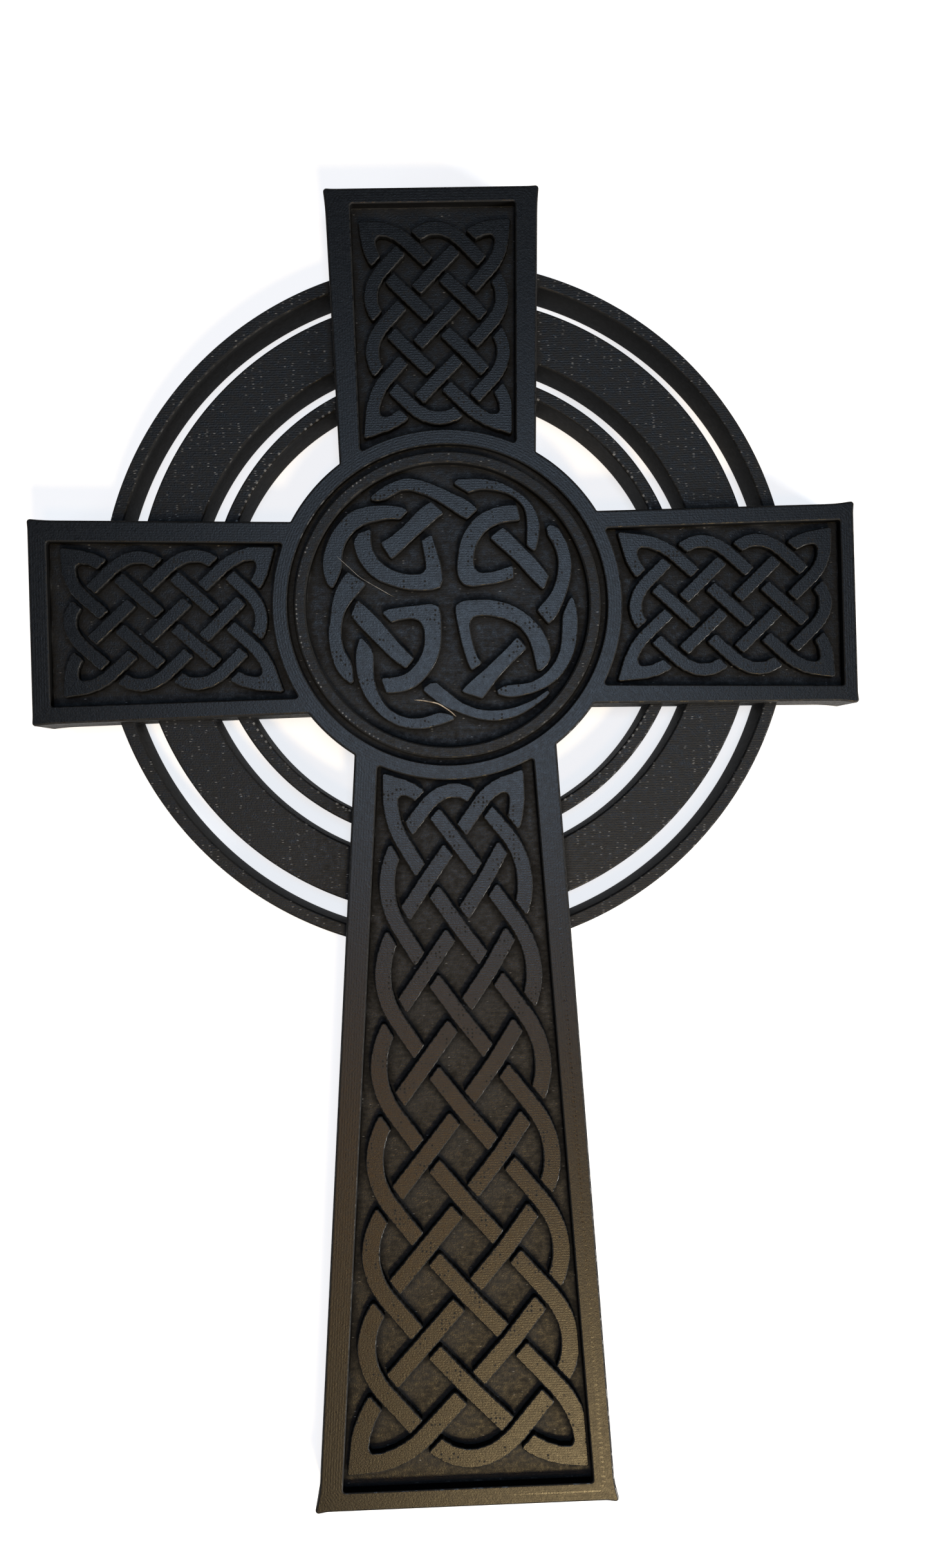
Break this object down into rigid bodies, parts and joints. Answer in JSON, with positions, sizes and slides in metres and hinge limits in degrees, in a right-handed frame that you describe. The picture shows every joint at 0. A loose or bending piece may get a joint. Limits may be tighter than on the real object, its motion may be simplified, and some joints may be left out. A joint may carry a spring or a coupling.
{
  "type": "celtic cross plaque",
  "caption": "Flat black printed cross with a pierced ring round its middle and raised knotwork in sunk panels, lying on its back; an ornament to fix to a stone, wall or board.",
  "frame": {"origin": "middle of the bounding box on the plane of the flat back, inside the shaft", "axes": "+X to the right arm, +Y to the head of the cross, +Z out of the carved front"},
  "size_m": [0.1438, 0.2296, 0.0102],
  "materials": {
    "black_plastic": "satin, with fine print lines"
  },
  "bodies": {
    "root": {"celtic_cross": "black_plastic"}
  },
  "joints": []
}
